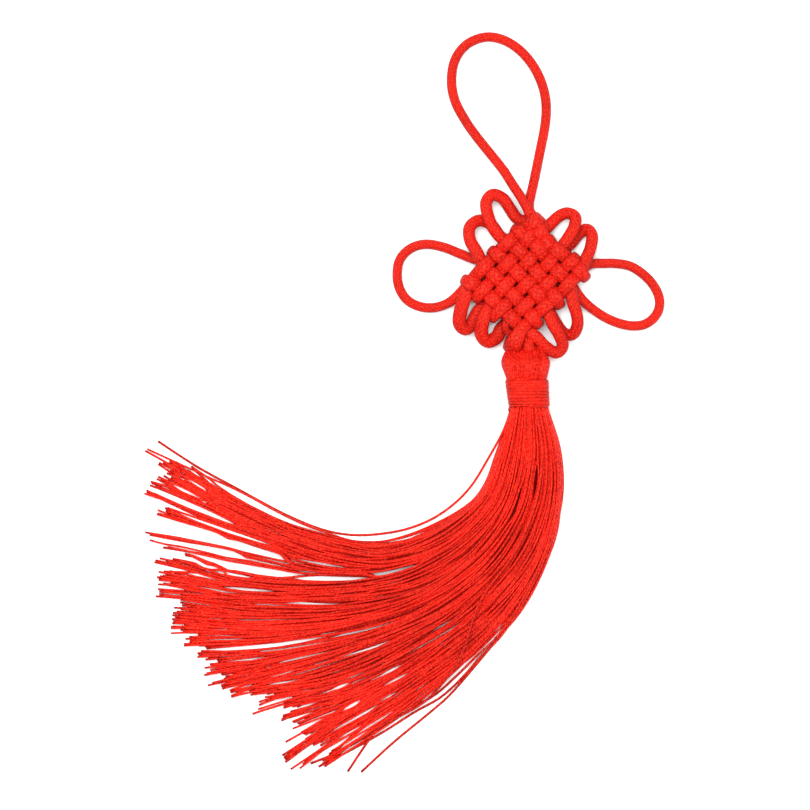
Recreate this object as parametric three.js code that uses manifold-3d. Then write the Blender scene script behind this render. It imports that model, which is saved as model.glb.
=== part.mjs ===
// A chinese knot tassel lying flat: a pan chang knot tied in one satin cord, and its tassel.
// Millimetres. The floor is z = 0, the hanging loop points to +Y, and the knot faces up to +Z.
import * as THREE from "three";
import Module from "manifold-3d";

const wasm = await Module();
wasm.setup();

// The cord
const CORD = 2.5; // across, where it lies free
const SMALL_LOOP_WIDE = 2.9; // a little flattened in the small side loops
const SMALL_LOOP_THICK = 2.3;
const WOVEN_THICK = 1.6; // pressed thin where it is woven
const BUMP_WIDE = 2.6; // across, at the top of a bump of the weave
const TUCKED_WIDE = 1.7; // across, where another run holds it down
const LOOP_STEP = 2.0; // length of one facet in a free loop
const SMALL_LOOP_STEP = 1.5;

// The weave: rows run from upper left to lower right, columns from upper right to lower left
const RUNS = 6; // rows, and as many columns
const KNOT_CENTRE = { x: 31.7, y: 33.25 };
const COLUMN_PITCH = 3.66; // from column to column, along a row
const ROW_PITCH = 4.23; // from row to row, along a column
const ROW_TURN = THREE.MathUtils.degToRad(-46.4);
const COLUMN_TURN = THREE.MathUtils.degToRad(-136.0);
// Crossings that the pull of the cord leaves off the even grid, and how far off
const PULLED = [
  { row: 1, column: 1, x: 0.4, y: 0.1 },
  { row: 1, column: 2, x: -0.3, y: -0.2 },
  { row: 1, column: 3, x: -0.8, y: -0.3 },
  { row: 1, column: 4, x: -0.6, y: 0.0 },
  { row: 2, column: 2, x: -0.2, y: 0.7 },
  { row: 2, column: 3, x: -0.3, y: 0.5 },
  { row: 3, column: 2, x: 0.2, y: 0.4 },
  { row: 3, column: 3, x: 0.2, y: 0.5 },
  { row: 3, column: 6, x: -0.2, y: -0.8 },
  { row: 4, column: 2, x: 0.3, y: 0.4 },
  { row: 4, column: 3, x: 0.2, y: 0.4 },
  { row: 4, column: 4, x: 0.3, y: 0.3 },
  { row: 4, column: 5, x: 0.3, y: 0.3 },
  { row: 6, column: 1, x: -0.5, y: -0.9 },
  { row: 6, column: 2, x: 0.1, y: -0.4 },
  { row: 6, column: 3, x: 0.0, y: -0.4 },
];
const LEVEL_GAP = 0.35; // between runs that cross
const LEVEL = WOVEN_THICK + LEVEL_GAP;
const BACK_OUTER = WOVEN_THICK / 2;
const BACK_INNER = BACK_OUTER + LEVEL;
const FRONT_INNER = BACK_INNER + LEVEL;
const FRONT_OUTER = FRONT_INNER + LEVEL;
const MIDDLE = (BACK_OUTER + FRONT_OUTER) / 2;
const THIRD_RISE = 0.62; // share of the climb between levels still left a third of a pitch from a bump
const BEND_REACH = 2.1; // how far a tight bend's centreline stands out past its last crossing
const BEND_STEPS = 6;
const BEND_NARROWS = 0.4; // at the middle of a tight bend
const SWELL_LENGTH = 3.0; // over which the cord swells to its loose size
const LEVEL_ENOUGH = 0.25; // a run steeper than this keeps the side it had

// Heights of the cord's centreline outside the weave
const OVER = 5.2; // a strand that leaves the front face
const UNDER = 2.1; // a strand that leaves the back face
const ON_FLOOR = CORD / 2;

// The tassel: thread folded over the cord's ends, bound round its neck
const SECTION_POINTS = 44; // round the head and the neck
const FLAT_SHARE = 0.08; // of a section's height, flattened where it lies on the floor
const RIDGE = 0.22; // how far the folded threads stand proud round the head
const RIDGES = 22;
const ROUND = { head: 2.2, binding: 2.7, stub: 3.6 }; // power of each oval: 2 is an ellipse, more is squarer
const HEAD_SECTIONS = [
  { y: 13.3, left: 28.6, right: 33.6, low: 2.6, high: 6.6 },
  { y: 12.8, left: 26.9, right: 35.2, low: 1.3, high: 8.0 },
  { y: 11.8, left: 25.6, right: 36.5, low: 0.3, high: 8.9 },
  { y: 10.4, left: 25.0, right: 37.4, low: 0.0, high: 9.4 },
  { y: 8.8, left: 25.3, right: 37.6, low: 0.0, high: 9.4 },
  { y: 7.4, left: 25.9, right: 37.2, low: 0.0, high: 9.1 },
  { y: 6.6, left: 26.1, right: 37.0, low: 0.0, high: 8.9 },
];
const BINDING_WALL = 1.0;
const BORE_PAST = 1.0; // the cut runs this far past both ends of the binding
const CLEARANCE = 0.35; // between the pieces
const NEAR_HEAD = 16.5; // cord below this y may come near the head
const BINDING_SECTIONS = [
  { y: 6.2, left: 26.6, right: 36.9, low: 0.35, high: 8.5 },
  { y: 5.7, left: 26.2, right: 37.3, low: 0.0, high: 8.9 },
  { y: 2.2, left: 26.5, right: 37.4, low: 0.0, high: 8.8 },
  { y: -1.1, left: 26.8, right: 37.5, low: 0.0, high: 8.7 },
  { y: -1.6, left: 27.2, right: 37.1, low: 0.35, high: 8.3 },
];
const STUB_SECTIONS = [
  { y: -2.0, left: 26.8, right: 37.7, low: 0.0, high: 8.4 },
  { y: -3.6, left: 26.5, right: 38.1, low: 0.0, high: 8.4 },
];

const STRANDS = 132;
const LAYER_ORDER = [0, 3, 1, 4, 2, 5]; // layers of neighbours across the fan: close layers lie apart
const LAYERS = LAYER_ORDER.length;
const STRAND_GAP = 0.12; // least distance between strands of one layer
const STRAND_WIDE = 0.6;
const STRAND_HIGH = { least: 0.5, most: 1.1 };
const LAYER_ROOM = 0.5; // height of the stack that isn't shared out to the strands
const RAGGED = 0.3; // share of its last stretch by which a strand may stop short
const DETACHED = { strands: 2, away: 2.0 }; // the threads that bow away from the upper edge
const UNEVEN_TURN = 12.9898; // spreads strand numbers over a sine
const UNEVEN_REACH = 43758.5453; // and keeps only far digits of it

// Ways out of the weave and back, as points of the cord's centreline in mm
const HANGING_LOOP = [
  { x: 36.5, y: 45.8, z: 4.8 },
  { x: 36.1, y: 47.6, z: 4.3 },
  { x: 34.6, y: 49.2, z: 3.6 },
  { x: 33.0, y: 51.0, z: 3.1 },
  { x: 32.7, y: 53.4, z: 2.6 },
  { x: 33.2, y: 56.6, z: 1.9 },
  { x: 34.9, y: 63.9, z: ON_FLOOR },
  { x: 36.3, y: 71.8, z: ON_FLOOR },
  { x: 36.6, y: 76.3, z: ON_FLOOR },
  { x: 35.2, y: 82.0, z: ON_FLOOR },
  { x: 33.0, y: 87.6, z: ON_FLOOR },
  { x: 29.6, y: 91.8, z: ON_FLOOR },
  { x: 25.3, y: 94.4, z: ON_FLOOR },
  { x: 21.1, y: 95.0, z: ON_FLOOR },
  { x: 16.3, y: 93.2, z: ON_FLOOR },
  { x: 13.2, y: 89.3, z: ON_FLOOR },
  { x: 12.2, y: 83.7, z: ON_FLOOR },
  { x: 13.1, y: 78.5, z: ON_FLOOR },
  { x: 16.0, y: 73.0, z: ON_FLOOR },
  { x: 18.9, y: 68.4, z: 1.5 },
  { x: 25.1, y: 60.6, z: 2.6 },
  { x: 28.5, y: 55.3, z: 3.8 },
  { x: 29.9, y: 52.1, z: 4.6 },
  { x: 31.2, y: 49.2, z: 4.9 },
];
const RIGHT_EAR = [
  { x: 47.0, y: 35.4, z: 2.4 },
  { x: 48.9, y: 36.1, z: 1.9 },
  { x: 51.4, y: 36.2, z: 1.4 },
  { x: 54.7, y: 36.2, z: ON_FLOOR },
  { x: 58.6, y: 35.5, z: ON_FLOOR },
  { x: 62.1, y: 33.3, z: ON_FLOOR },
  { x: 64.8, y: 30.3, z: ON_FLOOR },
  { x: 66.2, y: 27.0, z: ON_FLOOR },
  { x: 66.0, y: 24.2, z: ON_FLOOR },
  { x: 64.6, y: 21.9, z: ON_FLOOR },
  { x: 62.1, y: 20.3, z: ON_FLOOR },
  { x: 58.9, y: 20.0, z: ON_FLOOR },
  { x: 55.0, y: 20.9, z: ON_FLOOR },
  { x: 51.4, y: 22.6, z: 1.4 },
  { x: 47.8, y: 25.2, z: 1.8 },
  { x: 45.1, y: 27.8, z: UNDER },
];
const LEFT_EAR = [
  { x: 19.3, y: 36.9, z: 2.4 },
  { x: 17.4, y: 37.5, z: 2.0 },
  { x: 14.2, y: 38.8, z: 1.5 },
  { x: 10.2, y: 40.4, z: ON_FLOOR },
  { x: 5.4, y: 41.2, z: ON_FLOOR },
  { x: 1.6, y: 40.1, z: ON_FLOOR },
  { x: -1.1, y: 37.4, z: ON_FLOOR },
  { x: -1.9, y: 33.9, z: ON_FLOOR },
  { x: -1.4, y: 30.0, z: ON_FLOOR },
  { x: 0.7, y: 26.7, z: ON_FLOOR },
  { x: 4.0, y: 25.0, z: ON_FLOOR },
  { x: 7.5, y: 24.7, z: ON_FLOOR },
  { x: 11.1, y: 25.8, z: 1.4 },
  { x: 14.0, y: 27.9, z: UNDER },
];
const UPPER_LEFT_A = [
  { x: 31.5, y: 48.8, z: 2.4 },
  { x: 30.0, y: 49.7, z: 2.1 },
  { x: 28.0, y: 51.3, z: 2.1 },
  { x: 25.6, y: 53.2, z: 2.6 },
  { x: 22.9, y: 54.0, z: 3.4 },
  { x: 21.3, y: 52.1, z: 4.2 },
  { x: 21.8, y: 49.1, z: 4.9 },
  { x: 23.3, y: 45.8, z: OVER },
  { x: 25.0, y: 43.3, z: OVER },
];
const UPPER_LEFT_B = [
  { x: 24.9, y: 43.1, z: 2.3 },
  { x: 22.3, y: 46.4, z: 2.0 },
  { x: 19.2, y: 47.3, z: 2.7 },
  { x: 16.9, y: 45.5, z: 3.9 },
  { x: 16.9, y: 42.4, z: 4.8 },
  { x: 18.8, y: 38.9, z: OVER },
];
const UPPER_RIGHT_A = [
  { x: 36.9, y: 46.0, z: 2.2 },
  { x: 38.4, y: 47.2, z: 2.0 },
  { x: 40.2, y: 48.5, z: 2.4 },
  { x: 42.2, y: 49.2, z: 3.2 },
  { x: 44.2, y: 48.2, z: 4.2 },
  { x: 44.1, y: 45.9, z: 4.9 },
  { x: 42.7, y: 43.2, z: OVER },
];
const UPPER_RIGHT_B = [
  { x: 43.0, y: 41.2, z: 2.3 },
  { x: 45.2, y: 43.8, z: 2.0 },
  { x: 47.3, y: 45.0, z: 2.8 },
  { x: 48.6, y: 43.4, z: 4.2 },
  { x: 48.2, y: 40.2, z: 4.9 },
  { x: 47.0, y: 37.2, z: OVER },
];
const LOWER_RIGHT_A = [
  { x: 39.6, y: 20.2, z: UNDER },
  { x: 41.6, y: 17.9, z: 2.0 },
  { x: 43.6, y: 17.8, z: 2.9 },
  { x: 44.8, y: 20.0, z: 4.0 },
  { x: 44.6, y: 23.0, z: 4.8 },
  { x: 43.6, y: 26.0, z: OVER },
];
const LOWER_RIGHT_B = [
  { x: 33.6, y: 17.5, z: OVER },
  { x: 36.6, y: 14.5, z: 4.6 },
  { x: 39.4, y: 13.0, z: 4.0 },
  { x: 41.0, y: 14.7, z: 4.3 },
  { x: 40.0, y: 17.7, z: 5.0 },
  { x: 38.4, y: 20.4, z: OVER },
];
const LOWER_LEFT_A = [
  { x: 15.7, y: 27.4, z: OVER },
  { x: 14.5, y: 23.6, z: 4.7 },
  { x: 14.3, y: 20.6, z: 3.9 },
  { x: 15.7, y: 19.2, z: 3.0 },
  { x: 17.5, y: 20.6, z: 2.2 },
  { x: 19.2, y: 23.8, z: UNDER },
];
const LOWER_LEFT_B = [
  { x: 20.9, y: 23.0, z: OVER },
  { x: 20.1, y: 20.4, z: 4.9 },
  { x: 20.0, y: 17.6, z: 4.0 },
  { x: 21.6, y: 16.0, z: 3.0 },
  { x: 23.7, y: 16.8, z: 2.3 },
  { x: 25.2, y: 19.2, z: 2.0 },
  { x: 26.4, y: 20.5, z: 2.1 },
];
const END_ONE = [
  { x: 32.0, y: 17.6, z: 2.6 },
  { x: 32.3, y: 15.6, z: 3.3 },
  { x: 32.5, y: 13.4, z: 4.3 },
  { x: 32.5, y: 11.6, z: 4.5 },
  { x: 32.5, y: 9.8, z: 4.5 },
];
const CORNER_BEND = [
  { x: 29.1, y: 17.7, z: 7.0 },
  { x: 27.8, y: 15.9, z: 6.4 },
  { x: 27.2, y: 15.0, z: 4.9 },
  { x: 27.2, y: 15.0, z: 2.9 },
  { x: 27.9, y: 16.0, z: 1.6 },
  { x: 29.2, y: 17.8, z: 1.2 },
];
const END_TWO = [
  { x: 26.6, y: 20.7, z: 4.9 },
  { x: 26.3, y: 19.4, z: 4.6 },
  { x: 27.4, y: 18.0, z: 4.0 },
  { x: 28.8, y: 16.8, z: 3.9 },
  { x: 29.5, y: 15.2, z: 4.0 },
  { x: 29.7, y: 13.4, z: 4.3 },
  { x: 29.7, y: 11.6, z: 4.5 },
  { x: 29.7, y: 9.8, z: 4.5 },
];

// The fan of the skirt, from the neck to the tips: its upper edge, its middle, its lower edge and its height
const FAN = [
  { upX: 27.7, upY: -2.4, midX: 32.3, midY: -2.4, lowX: 36.9, lowY: -2.4, base: 0.2, height: 7.7 },
  { upX: 23.7, upY: -13.3, midX: 32.1, midY: -14.6, lowX: 40.3, lowY: -12.7, base: 0, height: 7.3 },
  { upX: 19.0, upY: -23.9, midX: 29.6, midY: -27.0, lowX: 40.8, lowY: -24.2, base: 0, height: 6.5 },
  { upX: 7.5, upY: -32.6, midX: 21.6, midY: -40.0, lowX: 38.1, lowY: -37.4, base: 0, height: 5.5 },
  { upX: -7.3, upY: -36.7, midX: 8.6, midY: -50.2, lowX: 31.3, lowY: -50.8, base: 0, height: 4.5 },
  { upX: -24.4, upY: -33.3, midX: -9.6, midY: -56.7, lowX: 21.1, lowY: -64.5, base: 0, height: 3.5 },
  { upX: -44.2, upY: -24.2, midX: -32.5, midY: -60.2, lowX: 7.0, lowY: -79.3, base: 0, height: 2.5 },
  { upX: -66.0, upY: -13.1, midX: -58.8, midY: -61.9, lowX: -12.6, lowY: -97.2, base: 0, height: 1.8 },
];

// A closed mesh from rings of points that all run the same way round, capped at both ends
function loft(rings) {
  const around = rings[0].length;
  const vertices = rings.flat(2);
  const triangles = [];
  for (let ring = 0; ring + 1 < rings.length; ring += 1) {
    for (let i = 0; i < around; i += 1) {
      const a = ring * around + i;
      const b = ring * around + ((i + 1) % around);
      triangles.push(a, b, b + around, a, b + around, a + around);
    }
  }
  const last = (rings.length - 1) * around;
  for (let i = 1; i + 1 < around; i += 1) {
    triangles.push(0, i + 1, i);
    triangles.push(last, last + i, last + i + 1);
  }
  const solid = new wasm.Manifold(
    new wasm.Mesh({
      numProp: 3,
      vertProperties: new Float32Array(vertices),
      triVerts: new Uint32Array(triangles),
    }),
  );
  if (solid.volume() < 0) {
    throw new Error("a loft is inside out");
  }
  return solid;
}

// Where a row and a column cross
function cell(row, column) {
  const middle = (RUNS + 1) / 2;
  const alongRow = (column - middle) * COLUMN_PITCH;
  const alongColumn = (row - middle) * ROW_PITCH;
  const pulled = PULLED.find((place) => place.row === row && place.column === column) ?? { x: 0, y: 0 };
  return {
    x: KNOT_CENTRE.x + Math.cos(ROW_TURN) * alongRow + Math.cos(COLUMN_TURN) * alongColumn + pulled.x,
    y: KNOT_CENTRE.y + Math.sin(ROW_TURN) * alongRow + Math.sin(COLUMN_TURN) * alongColumn + pulled.y,
  };
}

// The crossing of a run with its neighbour number place, and whether the run lies outermost there
function crossing(run, place) {
  const row = run.kind === "row" ? run.number : place;
  const column = run.kind === "row" ? place : run.number;
  const columnOutside = (row + column) % 2 === 0;
  const outside = run.kind === "row" ? !columnOutside : columnOutside;
  const levels = {
    front: { outer: FRONT_OUTER, inner: FRONT_INNER },
    back: { outer: BACK_OUTER, inner: BACK_INNER },
  };
  return {
    ...cell(row, column),
    z: levels[run.face][outside ? "outer" : "inner"],
    wide: outside ? BUMP_WIDE : TUCKED_WIDE,
    thick: WOVEN_THICK,
  };
}

// One straight run through the weave, three stations to a pitch
function weave(run) {
  const stations = [];
  const first = run.forward ? 1 : RUNS;
  const step = run.forward ? 1 : -1;
  for (let count = 0; count < RUNS; count += 1) {
    const here = crossing(run, first + step * count);
    stations.push(here);
    if (count + 1 === RUNS) {
      break;
    }
    const next = crossing(run, first + step * (count + 1));
    const half = (here.z - next.z) / 2;
    for (const third of [1, 2]) {
      const share = third / 3;
      stations.push({
        x: here.x + (next.x - here.x) * share,
        y: here.y + (next.y - here.y) * share,
        z: (here.z + next.z) / 2 + half * (third === 1 ? THIRD_RISE : -THIRD_RISE),
        wide: TUCKED_WIDE,
        thick: WOVEN_THICK,
      });
    }
  }
  return stations;
}

// A tight bend from one face to the other past the last crossing of a run
function tightBend(from, back) {
  const heading = new THREE.Vector2(from.x - back.x, from.y - back.y).normalize();
  const rise = FRONT_OUTER - MIDDLE;
  const start = from.z > MIDDLE ? 1 : -1;
  const stations = [];
  for (let step = 1; step < BEND_STEPS; step += 1) {
    const angle = (Math.PI * step) / BEND_STEPS;
    const out = BEND_REACH * Math.sin(angle);
    stations.push({
      x: from.x + heading.x * out,
      y: from.y + heading.y * out,
      z: MIDDLE + start * rise * Math.cos(angle),
      wide: BUMP_WIDE - BEND_NARROWS * Math.sin(angle),
      thick: WOVEN_THICK,
    });
  }
  return stations;
}

// Stations of a curve through the points between two woven stations, swelling to the loose cord's size
function looseSpan(before, points, after, size) {
  const keys = [...before, ...points, ...after];
  const curve = new THREE.CatmullRomCurve3(
    keys.map((key) => new THREE.Vector3(key.x, key.y, key.z)),
    false,
    "centripetal",
  );
  const firstSpan = Math.max(before.length - 1, 0);
  const lastSpan = keys.length - 1 - Math.max(after.length - 1, 0);
  const stations = [];
  for (let span = firstSpan; span < lastSpan; span += 1) {
    const from = keys[span];
    const to = keys[span + 1];
    const length = Math.hypot(to.x - from.x, to.y - from.y, to.z - from.z);
    const steps = Math.max(1, Math.round(length / size.step));
    for (let step = 0; step < steps; step += 1) {
      const place = (span + step / steps) / (keys.length - 1);
      stations.push(curve.getPoint(place));
    }
  }
  stations.push(curve.getPoint(lastSpan / (keys.length - 1)));
  const along = [0];
  for (let i = 1; i < stations.length; i += 1) {
    along.push(along[i - 1] + stations[i].distanceTo(stations[i - 1]));
  }
  const total = along[along.length - 1];
  return stations.map((point, i) => {
    const fromStart = before.length ? along[i] : total;
    const fromEnd = after.length ? total - along[i] : total;
    const swell = Math.min(1, Math.min(fromStart, fromEnd) / SWELL_LENGTH);
    return {
      x: point.x,
      y: point.y,
      z: point.z,
      wide: TUCKED_WIDE + (size.wide - TUCKED_WIDE) * swell,
      thick: WOVEN_THICK + (size.thick - WOVEN_THICK) * swell,
    };
  });
}

// Joins runs and the spans between them: the stations of each part in turn
function route(parts) {
  const runs = parts.map((part) => (part.kind ? weave(part) : null));
  return parts.map((part, i) => {
    if (runs[i]) {
      return runs[i];
    }
    const before = i > 0 ? runs[i - 1].slice(-2) : [];
    const after = i + 1 < parts.length ? runs[i + 1].slice(0, 2) : [];
    if (part.bend) {
      return tightBend(before[1], before[0]);
    }
    const span = looseSpan(before, part.points, after, part.size);
    return span.slice(before.length ? 1 : 0, after.length ? -1 : span.length);
  });
}

// Six corners round each station, two of the sides level, without a sudden turn from one to the next
function cordRings(stations, extra = 0) {
  const corners = [
    [1, 0],
    [0.5, 1],
    [-0.5, 1],
    [-1, 0],
    [-0.5, -1],
    [0.5, -1],
  ];
  let side = null;
  return stations.map((here, i) => {
    const ahead = stations[Math.min(i + 1, stations.length - 1)];
    const behind = stations[Math.max(i - 1, 0)];
    const tangent = new THREE.Vector3(ahead.x, ahead.y, ahead.z)
      .sub(new THREE.Vector3(behind.x, behind.y, behind.z))
      .normalize();
    const level = new THREE.Vector3(-tangent.y, tangent.x, 0);
    if (side === null) {
      side = level.clone().normalize();
    } else if (level.length() > LEVEL_ENOUGH) {
      level.normalize();
      side = level.dot(side) < 0 ? level.negate() : level;
    }
    side.addScaledVector(tangent, -side.dot(tangent)).normalize();
    const up = new THREE.Vector3().crossVectors(tangent, side);
    const wide = here.wide / 2 + extra;
    const thick = here.thick / 2 + extra;
    return corners.map(([across, over]) => [
      here.x + side.x * across * wide + up.x * over * thick,
      here.y + side.y * across * wide + up.y * over * thick,
      here.z + side.z * across * wide + up.z * over * thick,
    ]);
  });
}

// The cord, made part by part so that strands that press on each other are fused there
function cordSolid(parts) {
  const rings = cordRings(parts.flat());
  const pieces = [];
  let start = 0;
  for (const part of parts) {
    const end = Math.min(start + part.length, rings.length - 1);
    if (end > start) {
      pieces.push(loft(rings.slice(start, end + 1)));
    }
    start = end;
  }
  return filled(wasm.Manifold.union(pieces));
}

// The outer skin alone, so that a hollow closed in between fused strands is filled
function filled(solid) {
  return solid.decompose().reduce((most, body) => (body.volume() > most.volume() ? body : most));
}

// Sizes of the cord outside the weave
const LOOP_SIZE = { wide: CORD, thick: CORD, step: LOOP_STEP };
const SMALL_SIZE = { wide: SMALL_LOOP_WIDE, thick: SMALL_LOOP_THICK, step: SMALL_LOOP_STEP };
const END_SIZE = { wide: 2.2, thick: 2.2, step: SMALL_LOOP_STEP };
const CORNER_SIZE = { wide: 3.2, thick: 1.6, step: SMALL_LOOP_STEP };

const run = (kind, number, face, forward) => ({ kind, number, face, forward });
const loose = (points, size) => ({ points, size });
const turned = (points) => [...points].reverse();
const bend = { bend: true };

// The whole way of the cord, from one end in the tassel's head to the other
const CORD_PARTS = route([
  loose(turned(END_ONE), END_SIZE),
  run("row", 6, "back", false),
  bend,
  run("row", 6, "front", true),
  loose(LOWER_RIGHT_B, SMALL_SIZE),
  run("row", 4, "front", false),
  bend,
  run("row", 4, "back", true),
  loose(LOWER_RIGHT_A, SMALL_SIZE),
  run("row", 2, "front", false),
  bend,
  run("row", 2, "back", true),
  loose(turned(RIGHT_EAR), LOOP_SIZE),
  run("column", 6, "back", true),
  loose(turned(CORNER_BEND), CORNER_SIZE),
  run("column", 6, "front", false),
  loose(turned(UPPER_RIGHT_B), SMALL_SIZE),
  run("column", 4, "back", true),
  bend,
  run("column", 4, "front", false),
  loose(turned(UPPER_RIGHT_A), SMALL_SIZE),
  run("column", 2, "back", true),
  bend,
  run("column", 2, "front", false),
  loose(HANGING_LOOP, LOOP_SIZE),
  run("row", 1, "front", true),
  bend,
  run("row", 1, "back", false),
  loose(UPPER_LEFT_A, SMALL_SIZE),
  run("row", 3, "front", true),
  bend,
  run("row", 3, "back", false),
  loose(UPPER_LEFT_B, SMALL_SIZE),
  run("row", 5, "front", true),
  bend,
  run("row", 5, "back", false),
  loose(LEFT_EAR, LOOP_SIZE),
  run("column", 1, "back", false),
  bend,
  run("column", 1, "front", true),
  loose(LOWER_LEFT_A, SMALL_SIZE),
  run("column", 3, "back", false),
  bend,
  run("column", 3, "front", true),
  loose(LOWER_LEFT_B, SMALL_SIZE),
  run("column", 5, "back", false),
  bend,
  run("column", 5, "front", true),
  loose(END_TWO, END_SIZE),
]);

// One section across the tassel: a rounded oval in the plane of y, flat along the floor
function section(size, power, inset = 0, ridge = 0) {
  const points = [];
  const halfWide = (size.right - size.left) / 2 - inset;
  const low = size.low + inset;
  const high = size.high - inset;
  const halfTall = ((high - low) * (1 + FLAT_SHARE)) / 2;
  const squared = (value) => Math.sign(value) * Math.abs(value) ** (2 / power);
  for (let i = 0; i < SECTION_POINTS; i += 1) {
    const angle = (2 * Math.PI * i) / SECTION_POINTS;
    const swell = 1 + (ridge / halfWide) * Math.cos(RIDGES * angle);
    points.push([
      (size.left + size.right) / 2 + halfWide * squared(Math.cos(angle)) * swell,
      size.y,
      Math.max(high - halfTall + halfTall * squared(Math.sin(angle)) * swell, low),
    ]);
  }
  return points;
}

// Head, neck and stub in one, with the neck drawn in beneath the binding
function tasselCore() {
  const inset = BINDING_WALL + CLEARANCE;
  const top = BINDING_SECTIONS[1];
  const bottom = BINDING_SECTIONS[BINDING_SECTIONS.length - 2];
  const rings = HEAD_SECTIONS.map((size) => section(size, ROUND.head, 0, RIDGE));
  rings.push(section({ ...top, y: HEAD_SECTIONS[HEAD_SECTIONS.length - 1].y }, ROUND.binding, inset));
  rings.push(section({ ...bottom, y: STUB_SECTIONS[0].y }, ROUND.binding, inset));
  rings.push(...STUB_SECTIONS.map((size) => section(size, ROUND.stub)));
  return loft(rings);
}

function bindingRing() {
  const outside = loft(BINDING_SECTIONS.map((size) => section(size, ROUND.binding)));
  const last = BINDING_SECTIONS.length - 1;
  const top = { ...BINDING_SECTIONS[1], y: BINDING_SECTIONS[0].y + BORE_PAST };
  const foot = { ...BINDING_SECTIONS[last - 1], y: BINDING_SECTIONS[last].y - BORE_PAST };
  const bore = [section(top, ROUND.binding, BINDING_WALL), section(foot, ROUND.binding, BINDING_WALL)];
  return outside.subtract(loft(bore));
}

// A place in the fan: share across from the upper edge to the lower, at one of its stations
function fanPoint(at, share) {
  const up = (1 - share) * (1 - 2 * share);
  const middle = 4 * share * (1 - share);
  const low = share * (2 * share - 1);
  return {
    x: up * at.upX + middle * at.midX + low * at.lowX,
    y: up * at.upY + middle * at.midY + low * at.lowY,
  };
}

// An uneven number from 0 to 1 for each strand, the same every time
function uneven(number) {
  return Math.abs(Math.sin(number * UNEVEN_TURN) * UNEVEN_REACH) % 1;
}

function blend(from, to, share) {
  const mixed = {};
  for (const key of Object.keys(from)) {
    mixed[key] = from[key] + (to[key] - from[key]) * share;
  }
  return mixed;
}

// One strand: three sides, its flat side down, from the stub to its ragged tip
function strand(number) {
  const share = (number + 0.5) / STRANDS;
  const layer = LAYER_ORDER[number % LAYERS];
  const stopShort = RAGGED * uneven(number + 1);
  const stations = FAN.map((at, i) => {
    const last = i === FAN.length - 1;
    const place = last ? blend(FAN[i - 1], at, 1 - stopShort) : at;
    const point = fanPoint(place, share);
    if (number < DETACHED.strands) {
      point.y += DETACHED.away * Math.sin((Math.PI * i) / (FAN.length - 1));
    }
    const across = Math.hypot(place.lowX - place.upX, place.lowY - place.upY);
    const wide = Math.min(STRAND_WIDE, (across * LAYERS) / STRANDS - STRAND_GAP);
    const shared = (place.height - LAYER_ROOM) / LAYERS;
    const high = Math.min(STRAND_HIGH.most, Math.max(STRAND_HIGH.least, shared));
    const z = place.base + (layer * (place.height - high)) / (LAYERS - 1);
    return { ...point, z, wide, high };
  });
  const rings = stations.map((here, i) => {
    const ahead = stations[Math.min(i + 1, stations.length - 1)];
    const behind = stations[Math.max(i - 1, 0)];
    const across = new THREE.Vector2(behind.y - ahead.y, ahead.x - behind.x).normalize();
    const half = here.wide / 2;
    return [
      [here.x + across.x * half, here.y + across.y * half, here.z],
      [here.x, here.y, here.z + here.high],
      [here.x - across.x * half, here.y - across.y * half, here.z],
    ];
  });
  return loft(rings);
}

// The stretches of cord beside or in the head
function nearHead(stations) {
  const stretches = [[]];
  for (const here of stations) {
    const current = stretches[stretches.length - 1];
    if (here.y < NEAR_HEAD) {
      current.push(here);
    } else if (current.length) {
      stretches.push([]);
    }
  }
  return stretches.filter((stretch) => stretch.length > 1);
}

// The tassel, with room left round the cord
function tassel(stations) {
  const first = stations[0];
  const last = stations[stations.length - 1];
  const longer = [
    { ...first, y: first.y - CLEARANCE },
    ...stations,
    { ...last, y: last.y - CLEARANCE },
  ];
  const room = nearHead(longer).map((stretch) => loft(cordRings(stretch, CLEARANCE)));
  const strands = Array.from({ length: STRANDS }, (_, number) => strand(number));
  return tasselCore().subtract(wasm.Manifold.union(room)).add(wasm.Manifold.union(strands));
}

function meshOf(name, solid, colour) {
  const made = solid.getMesh();
  const geometry = new THREE.BufferGeometry();
  const places = new THREE.Float32BufferAttribute(made.vertProperties, made.numProp);
  geometry.setAttribute("position", places);
  geometry.setIndex(new THREE.Uint32BufferAttribute(made.triVerts, 1));
  geometry.computeVertexNormals();
  const material = new THREE.MeshStandardMaterial({ color: colour, roughness: 0.55, metalness: 0 });
  const mesh = new THREE.Mesh(geometry, material);
  mesh.name = name;
  return mesh;
}

const knotTassel = new THREE.Group();
knotTassel.name = "chinese_knot_tassel";
knotTassel.add(meshOf("knot_cord", cordSolid(CORD_PARTS), 0xd8201c));
knotTassel.add(meshOf("tassel", tassel(CORD_PARTS.flat()), 0xe02018));
knotTassel.add(meshOf("neck_binding", bindingRing(), 0xc81a16));

export default knotTassel;
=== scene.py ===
import math

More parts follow.
